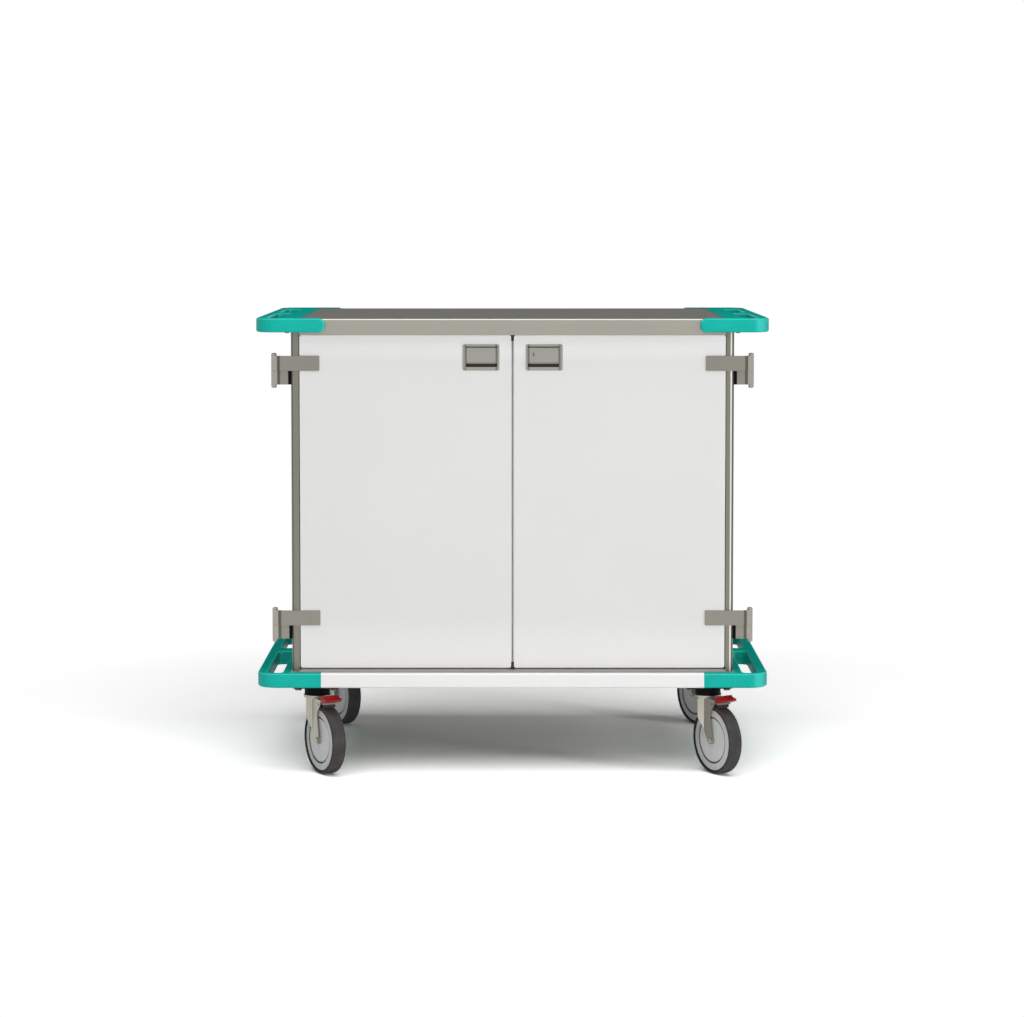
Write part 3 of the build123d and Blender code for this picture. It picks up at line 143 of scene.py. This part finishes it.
class Shader:
    """A material's node tree, with short calls for the nodes used here."""

    def __init__(self, name):
        self.material = bpy.data.materials.new(name)
        self.material.use_nodes = True
        self.tree = self.material.node_tree
        self.principled = self.tree.nodes["Principled BSDF"]
        self.coordinates = self.node("ShaderNodeTexCoord").outputs["Object"]

    def node(self, kind, **settings):
        made = self.tree.nodes.new(kind)
        for key, value in settings.items():
            setattr(made, key, value)
        return made

    def link(self, source, target):
        self.tree.links.new(source, target)

    def noise(self, scale, detail, vector=None):
        made = self.node("ShaderNodeTexNoise")
        made.inputs["Scale"].default_value = scale
        made.inputs["Detail"].default_value = detail
        self.link(vector or self.coordinates, made.inputs["Vector"])
        return made.outputs["Fac"]

    def streaks(self, scale):
        """Fine streaks that run along the axis with the smallest scale."""
        mapping = self.node("ShaderNodeMapping")
        mapping.inputs["Scale"].default_value = scale
        self.link(self.coordinates, mapping.inputs["Vector"])
        return self.noise(1.0, 3.0, mapping.outputs["Vector"])

    def spread(self, source, low, high, start=0.3, end=0.7):
        """A value that goes from low to high as the source goes from start to end."""
        made = self.node("ShaderNodeMapRange")
        made.inputs["From Min"].default_value = start
        made.inputs["From Max"].default_value = end
        made.inputs["To Min"].default_value = low
        made.inputs["To Max"].default_value = high
        self.link(source, made.inputs["Value"])
        return made.outputs["Result"]

    def rise(self, source, start, end):
        """A factor that goes from 0 to 1 as the source goes from start to end."""
        return self.spread(source, 0.0, 1.0, start, end)

    def fall(self, source, start, end):
        """A factor that goes from 1 to 0 as the source goes from start to end."""
        return self.spread(source, 1.0, 0.0, start, end)

    def band(self, source, start, end, soft):
        """1 between start and end, 0 outside, with soft limits."""
        above = self.rise(source, start - soft, start + soft)
        below = self.fall(source, end - soft, end + soft)
        return self.math("MULTIPLY", above, below)

    def mix(self, factor, first, second):
        """A colour that goes from the first to the second with the factor."""
        made = self.node("ShaderNodeMix", data_type="RGBA")
        for name, value in (("A", first), ("B", second)):
            socket = next(s for s in made.inputs if s.name == name and s.type == "RGBA")
            if isinstance(value, tuple):
                socket.default_value = (*value, 1.0)
            else:
                self.link(value, socket)
        self.link(factor, made.inputs["Factor"])
        return next(s for s in made.outputs if s.type == "RGBA")

    def mottled(self, source, colour, darkest, lightest):
        """The colour, varied between two gains by a noise."""
        return self.mix(self.spread(source, 0.0, 1.0), shaded(colour, darkest), shaded(colour, lightest))

    def bump(self, height, strength, distance):
        made = self.node("ShaderNodeBump")
        made.inputs["Strength"].default_value = strength
        made.inputs["Distance"].default_value = distance
        self.link(height, made.inputs["Height"])
        return made.outputs["Normal"]

    def place(self, axis):
        """How far the point lies along one axis, in metres."""
        split = self.node("ShaderNodeSeparateXYZ")
        self.link(self.coordinates, split.inputs["Vector"])
        return split.outputs[axis]

    def facing(self, axis):
        """One part of the surface's own normal: 1 where it faces straight along the axis."""
        split = self.node("ShaderNodeSeparateXYZ")
        self.link(self.node("ShaderNodeNewGeometry").outputs["Normal"], split.inputs["Vector"])
        return split.outputs[axis]

    def math(self, operation, first, second=None):
        made = self.node("ShaderNodeMath", operation=operation)
        for socket, value in zip(made.inputs, (first, second)):
            if isinstance(value, float):
                socket.default_value = value
            elif value is not None:
                self.link(value, socket)
        return made.outputs["Value"]

    def finish(self, colour, roughness, normal, **sockets):
        """Wire colour, roughness and bump, and set the rest on the shader itself."""
        self.link(colour, self.principled.inputs["Base Color"])
        self.link(roughness, self.principled.inputs["Roughness"])
        self.link(normal, self.principled.inputs["Normal"])
        for name, value in sockets.items():
            self.principled.inputs[name].default_value = value
        return self.material

    def finish_brushed(self, colour, streaks, smoothest, roughest):
        """Finish as brushed metal, whose streaks set the gloss and a slight relief."""
        gloss = self.spread(streaks, smoothest, roughest)
        return self.finish(colour, gloss, self.bump(streaks, 0.25, 0.0002), Metallic=0.9)


def shaded(colour, gain):
    """The same colour, lighter or darker."""
    return tuple(channel * gain for channel in colour)


def brushed_metal(name, colour, grain, roughness, contrast):
    """Metal with fine streaks along one axis, faint handling marks and a soft sheen."""
    shader = Shader(name)
    streaks = shader.streaks(grain)
    clouds = shader.noise(9.0, 4.0)
    tone = shader.mottled(clouds, colour, 1 - contrast, 1 + contrast)
    tone = shader.mix(shader.spread(streaks, 0.0, 0.5), tone, shaded(colour, 1 + 2 * contrast))
    return shader.finish_brushed(tone, streaks, roughness - 0.06, roughness + 0.08)


def moulded_plastic(name, colour, roughness, shine=0.5):
    """Moulded plastic: a fine spark-eroded grain and soft scuffs."""
    shader = Shader(name)
    fine = shader.noise(900.0, 2.0)
    scuffs = shader.noise(26.0, 5.0)
    tone = shader.mottled(scuffs, colour, 0.94, 1.06)
    gloss = shader.spread(scuffs, roughness - 0.05, roughness + 0.07)
    return shader.finish(tone, gloss, shader.bump(fine, 0.15, 0.0002), **{"Specular IOR Level": shine})


def rubber(name, colour, shine):
    """Rubber: matt, with faint patches of dust."""
    shader = Shader(name)
    fine = shader.noise(700.0, 3.0)
    dust = shader.noise(40.0, 5.0)
    tone = shader.mottled(dust, colour, 0.85, 1.35)
    gloss = shader.spread(dust, 0.56, 0.74)
    return shader.finish(tone, gloss, shader.bump(fine, 0.3, 0.0003), **{"Specular IOR Level": shine})


def white_paint(name):
    """Powder coat: an orange-peel skin, with painted light where it lies level and at the doors' head and foot."""
    shader = Shader(name)
    peel = shader.noise(420.0, 2.0)
    clouds = shader.noise(3.0, 3.0)
    height = shader.place("Z")
    tone = shader.mottled(clouds, paint, 0.985, 1.01)
    # Painted light: lighter at the doors' foot and below, on level faces, and at the doors' head under the
    # worktop's overhang
    tone = shader.mix(shader.fall(height, door_foot_z, door_foot_z + foot_fade), tone, foot_painted_light)
    tone = shader.mix(shader.rise(shader.facing("Z"), 0.2, 0.6), tone, level_painted_light)
    tone = shader.mix(shader.rise(height, door_head_z - head_fade, door_head_z), tone, head_painted_light)
    gloss = shader.spread(clouds, 0.31, 0.38)
    return shader.finish(tone, gloss, shader.bump(peel, 0.12, 0.0003))


def bumper_plastic(name):
    """Moulded bumper plastic: fine-grained, with a painted highlight on its round edges and a slight painted shade
    where it lies level.
    """
    shader = Shader(name)
    fine = shader.noise(900.0, 2.0)
    scuffs = shader.noise(26.0, 5.0)
    upward = shader.facing("Z")
    tone = shader.mottled(scuffs, bumper_teal, 0.95, 1.05)
    # Painted highlight on the round top edges and the right-facing corners, slight painted shade on level faces
    tone = shader.mix(shader.band(upward, 0.30, 0.75, 0.12), tone, painted_highlight_teal)
    tone = shader.mix(shader.band(shader.facing("X"), 0.30, 0.80, 0.12), tone, painted_highlight_teal)
    tone = shader.mix(shader.rise(upward, 0.80, 0.95), tone, level_shade_teal)
    gloss = shader.spread(scuffs, 0.34, 0.46)
    shine = shader.spread(upward, 0.12, 0.0, 0.10, 0.80)
    shader.link(shine, shader.principled.inputs["Specular IOR Level"])
    return shader.finish(tone, gloss, shader.bump(fine, 0.15, 0.0002))


def worktop_steel(name):
    """Folded steel sheet: brushed along its length, with a painted highlight on the bend, painted shade on top of
    the cart, and dark on faces that look down.
    """
    shader = Shader(name)
    streaks = shader.streaks(along_worktop)
    clouds = shader.noise(5.0, 4.0)
    upward = shader.facing("Z")
    level = shader.rise(upward, 0.85, 0.98)
    on_top = shader.rise(shader.place("Z"), top_shade_from_z, top_shade_to_z)
    # Painted highlight on the bend, painted shade on the top, dark on faces that look down
    tone = shader.mix(shader.rise(upward, 0.1, 0.35), side_steel, bend_highlight_steel)
    tone = shader.mix(level, tone, side_steel)
    tone = shader.mix(shader.math("MULTIPLY", level, on_top), tone, top_shade_and_underside_steel)
    tone = shader.mix(shader.fall(upward, -0.98, -0.85), tone, top_shade_and_underside_steel)
    tone = shader.mix(shader.spread(clouds, 0.0, 0.08), tone, shaded(side_steel, 0.55))
    gloss = shader.spread(streaks, 0.40, 0.55)
    return shader.finish(tone, gloss, shader.bump(streaks, 0.3, 0.0002), Metallic=0.5, **{
        "Specular IOR Level": 0.1, "Specular Tint": worktop_tint,
    })


def post_metal(name):
    """Extruded post: a painted highlight line along the right one's outer half, a painted shade line along each
    outer edge.
    """
    shader = Shader(name)
    streaks = shader.streaks(along_z)
    across = shader.place("X")
    outward = shader.math("ABSOLUTE", across)
    # Painted highlight line on the right post, painted shade line along both outer edges
    line = shader.band(across, post_highlight_x - post_highlight_half, post_highlight_x + post_highlight_half, post_highlight_soft)
    edge = shader.band(
        outward, post_shade_x - post_shade_half, post_shade_x + post_shade_half, post_shade_soft,
    )
    tone = shader.mottled(streaks, post_grey, 0.95, 1.05)
    tone = shader.mix(line, tone, post_painted_highlight)
    tone = shader.mix(edge, tone, post_painted_shade)
    return shader.finish_brushed(tone, streaks, 0.34, 0.44)


def hinge_metal(name):
    """Pressed hinge leaves with a painted shade beside the barrel, and a painted highlight on the turned barrel.
    """
    shader = Shader(name)
    streaks = shader.streaks(along_x)
    outward = shader.math("ABSOLUTE", shader.place("X"))
    # Painted shade beside the barrel, painted highlight on the barrel
    beside = shader.band(outward, barrel_inner_x - hinge_shade_width, barrel_inner_x, crisp)
    barrel = shader.rise(outward, barrel_inner_x, barrel_inner_x + barrel_fade)
    tone = shader.mottled(streaks, hinge_grey, 0.96, 1.06)
    tone = shader.mix(beside, tone, hinge_dark)
    tone = shader.mix(barrel, tone, barrel_painted_highlight)
    return shader.finish_brushed(tone, streaks, 0.34, 0.46)


def latch_metal(name):
    """Pressed steel, with painted shade in the channels beside the paddle and in the hollow of the dish."""
    shader = Shader(name)
    streaks = shader.streaks(along_x)
    across = shader.math("ABSOLUTE", shader.place("X"))
    off_middle = shader.math("ABSOLUTE", shader.math("SUBTRACT", across, latch_middle_x))
    # Painted shade in the channels and in the hollow under the paddle
    channels = shader.band(off_middle, channel_inner_x, channel_outer_x, crisp)
    deep = shader.rise(shader.place("Y"), hollow_from_y, hollow_to_y)
    low = shader.fall(shader.place("Z"), finger_slot_z - slot_soft, finger_slot_z + slot_soft)
    tone = shader.mottled(streaks, latch_grey, 0.95, 1.05)
    tone = shader.mix(channels, tone, channel_painted_shade)
    tone = shader.mix(shader.math("MULTIPLY", deep, low), tone, hollow_painted_shade)
    return shader.finish_brushed(tone, streaks, 0.38, 0.50)


def lock_face(name):
    """The lock's turned face, with painted shade in the keyway."""
    shader = Shader(name)
    rings = shader.noise(60.0, 3.0)
    # Painted shade in the keyway
    inside = shader.rise(shader.place("Y"), keyway_from_y, keyway_to_y)
    tone = shader.mottled(rings, lock_grey, 0.96, 1.04)
    tone = shader.mix(inside, tone, keyway_painted_shade)
    gloss = shader.spread(rings, 0.30, 0.42)
    return shader.finish(tone, gloss, shader.bump(rings, 0.1, 0.0002), Metallic=0.9)


def pedal_parts(name):
    """Red moulded cover above, steel lever below it, black shoe at the bottom."""
    shader = Shader(name)
    height = shader.place("Z")
    scuffs = shader.noise(40.0, 5.0)
    over_lever = shader.rise(height, cover_z - parting, cover_z + parting)
    over_shoe = shader.rise(height, shoe_z - parting, shoe_z + parting)
    tone = shader.mix(over_shoe, shoe_black, lever_grey)
    tone = shader.mix(over_lever, tone, cover_red)
    tone = shader.mix(shader.spread(scuffs, 0.0, 0.15), tone, shaded(cover_red, 0.3))
    gloss = shader.spread(scuffs, 0.30, 0.42)
    return shader.finish(tone, gloss, shader.bump(scuffs, 0.05, 0.0003), **{"Specular IOR Level": 0.25})


def satin_black(name):
    """Black parts that hardly shine."""
    return moulded_plastic(name, (0.006, 0.006, 0.006), 0.5, shine=0.04)


finishes = {
    "teal_plastic": bumper_plastic,
    "white_paint": white_paint,
    "grey_steel": worktop_steel,
    "post_aluminium": post_metal,
    "hinge_steel": hinge_metal,
    "latch_steel": latch_metal,
    "lock_metal": lock_face,
    "red_plastic": pedal_parts,
    "race_steel": satin_black,
    "black_plastic": satin_black,
    "shell_steel": lambda name: brushed_metal(name, (0.34, 0.33, 0.30), along_z, 0.38, 0.04),
    # The screw heads' dark grey is painted shade, for the shade they sit in under the bumpers
    "screw_steel": lambda name: brushed_metal(name, (0.12, 0.116, 0.11), along_x, 0.40, 0.10),
    "caster_steel": lambda name: brushed_metal(name, (0.36, 0.345, 0.295), along_z, 0.34, 0.08),
    "black_seal": lambda name: rubber(name, (0.08, 0.079, 0.075), 0.3),
    "grey_seal": lambda name: moulded_plastic(name, (0.58, 0.575, 0.57), 0.5, shine=0.2),
}


def dress_nodes():
    """Give every CAD node but the wheels' the finish of its material slot."""
    made = {slot: finish(slot) for slot, finish in finishes.items()}
    for entry in frame["record"]["subparts"]:
        if entry["material_slot"] in made:
            node = frame["nodes"][entry["node"]]
            node.data.materials.clear()
            node.data.materials.append(made[entry["material_slot"]])


def paint_rings(node, joint, rings):
    """Give each face of a wheel piece the finish of the ring that its middle lies in."""
    middle = Vector(joint["pos_m"])
    axis = Vector(joint["axis"]).normalized()
    node.data.materials.clear()
    for _, material in rings:
        node.data.materials.append(material)
    for face in node.data.polygons:
        radius = (face.center - middle).cross(axis).length
        face.material_index = next(index for index, (outer, _) in enumerate(rings) if radius < outer)


def dress_wheels():
    """Rings of light and dark plastic on the hubs, with painted shade in the groove, and darker side walls on the
    tyres.
    """
    hub_rings = [
        (boss_radius, moulded_plastic("hub_boss", (0.22, 0.22, 0.21), 0.42)),
        (groove_inner_radius, moulded_plastic("hub_disc", (0.66, 0.66, 0.67), 0.42)),
        # Painted shade in the groove
        (groove_outer_radius, moulded_plastic("hub_groove_shade", (0.16, 0.16, 0.16), 0.50)),
        (math.inf, moulded_plastic("hub_ring", (0.58, 0.58, 0.58), 0.42)),
    ]
    tyre_rings = [
        (wall_radius, rubber("tyre_wall", (0.018, 0.017, 0.017), 0.1)),
        (math.inf, rubber("tyre_tread", (0.060, 0.055, 0.055), 0.1)),
    ]
    for joint in frame["joints"]:
        if joint["child"].startswith("wheel_"):
            place = joint["child"].removeprefix("wheel_")
            paint_rings(frame["nodes"]["wheel_hub_" + place], joint, hub_rings)
            paint_rings(frame["nodes"]["wheel_tyre_" + place], joint, tyre_rings)


def make_floor():
    """A pale floor that keeps the cart's shadow and turns plain white further out."""
    mesh = bpy.data.meshes.new("studio_floor")
    outline = [
        (-floor_half, -floor_half, 0), (floor_half, -floor_half, 0),
        (floor_half, floor_half, 0), (-floor_half, floor_half, 0),
    ]
    mesh.from_pydata(outline, [], [(0, 1, 2, 3)])
    floor = bpy.data.objects.new("studio_floor", mesh)
    bpy.context.scene.collection.objects.link(floor)
    shader = Shader("studio_floor")
    distance = shader.node("ShaderNodeVectorMath", operation="DISTANCE")
    shader.link(shader.coordinates, distance.inputs[0])
    distance.inputs[1].default_value = shadow_middle
    far = shader.rise(distance.outputs["Value"], white_from, white_to)
    path = shader.node("ShaderNodeLightPath")
    seen = shader.math("MAXIMUM", path.outputs["Is Camera Ray"], path.outputs["Is Glossy Ray"])
    paper = (floor_albedo, floor_albedo, floor_albedo)
    diffuse = shader.node("ShaderNodeBsdfDiffuse")
    shader.link(shader.mix(seen, paper, shaded(paper, floor_seen_gain)), diffuse.inputs["Color"])
    glow = shader.node("ShaderNodeEmission")
    blend = shader.node("ShaderNodeMixShader")
    shader.link(shader.math("MULTIPLY", far, seen), blend.inputs[0])
    shader.link(diffuse.outputs[0], blend.inputs[1])
    shader.link(glow.outputs[0], blend.inputs[2])
    shader.tree.nodes.remove(shader.principled)
    shader.link(blend.outputs[0], shader.tree.nodes["Material Output"].inputs["Surface"])
    mesh.materials.append(shader.material)


def make_world():
    """Plain white behind everything, and an even grey-white light from all round."""
    world = bpy.data.worlds.new("studio")
    world.use_nodes = True
    tree = world.node_tree
    light = tree.nodes["Background"]
    light.inputs["Strength"].default_value = world_strength
    light.inputs["Color"].default_value = world_tint
    white = tree.nodes.new("ShaderNodeBackground")
    white.inputs["Color"].default_value = (1.0, 1.0, 1.0, 1.0)
    path = tree.nodes.new("ShaderNodeLightPath")
    seen = path.outputs["Is Camera Ray"]
    for kind in ("Is Glossy Ray", "Is Transmission Ray"):
        either = tree.nodes.new("ShaderNodeMath")
        either.operation = "MAXIMUM"
        tree.links.new(seen, either.inputs[0])
        tree.links.new(path.outputs[kind], either.inputs[1])
        seen = either.outputs[0]
    mix = tree.nodes.new("ShaderNodeMixShader")
    tree.links.new(seen, mix.inputs[0])
    tree.links.new(light.outputs[0], mix.inputs[1])
    tree.links.new(white.outputs[0], mix.inputs[2])
    tree.links.new(mix.outputs[0], tree.nodes["World Output"].inputs["Surface"])
    bpy.context.scene.world = world


def area_light(name, place, aim, width, height, power):
    """A soft box that faces a point and leaves no image of itself in glossy surfaces."""
    data = bpy.data.lights.new(name, "AREA")
    data.shape = "RECTANGLE"
    data.size = width
    data.size_y = height
    data.energy = power
    lamp = bpy.data.objects.new(name, data)
    bpy.context.scene.collection.objects.link(lamp)
    lamp.visible_glossy = False
    lamp.location = place
    lamp.rotation_euler = (Vector(aim) - Vector(place)).to_track_quat("-Z", "Y").to_euler()


def make_lights():
    """A wide soft box overhead, a low one in front of the doors, and an upright one on the right."""
    area_light(
        "key_overhead", place=(0.0, -2.4, 4.2), aim=(0.0, -1.9, 0.0), width=7.0, height=5.6, power=168.0,
    )
    area_light(
        "front_fill", place=(0.0, -6.5, 0.36), aim=(0.0, 0.0, 0.5), width=5.0, height=0.6, power=170.0,
    )
    area_light(
        "right_strip", place=(4.0, -2.4, 1.0), aim=cart_middle, width=0.6, height=2.4, power=34.0,
    )


def make_camera():
    """The photograph's view: from in front, above the top, a little pitched down."""
    data = bpy.data.cameras.new("photo_camera")
    data.sensor_width = sensor_width
    data.lens = focal_px / image_width * sensor_width
    data.shift_y = (centre_row_px - image_height / 2) / image_width
    camera = bpy.data.objects.new("photo_camera", data)
    bpy.context.scene.collection.objects.link(camera)
    camera.location = (camera_aside, bumper_front_y - camera_ahead, camera_height)
    camera.rotation_euler = (math.radians(90.0) - camera_pitch, 0.0, 0.0)
    bpy.context.scene.camera = camera


make_camera()
make_world()
make_lights()
make_floor()
dress_nodes()
dress_wheels()
bpy.context.scene.view_settings.view_transform = "Standard"
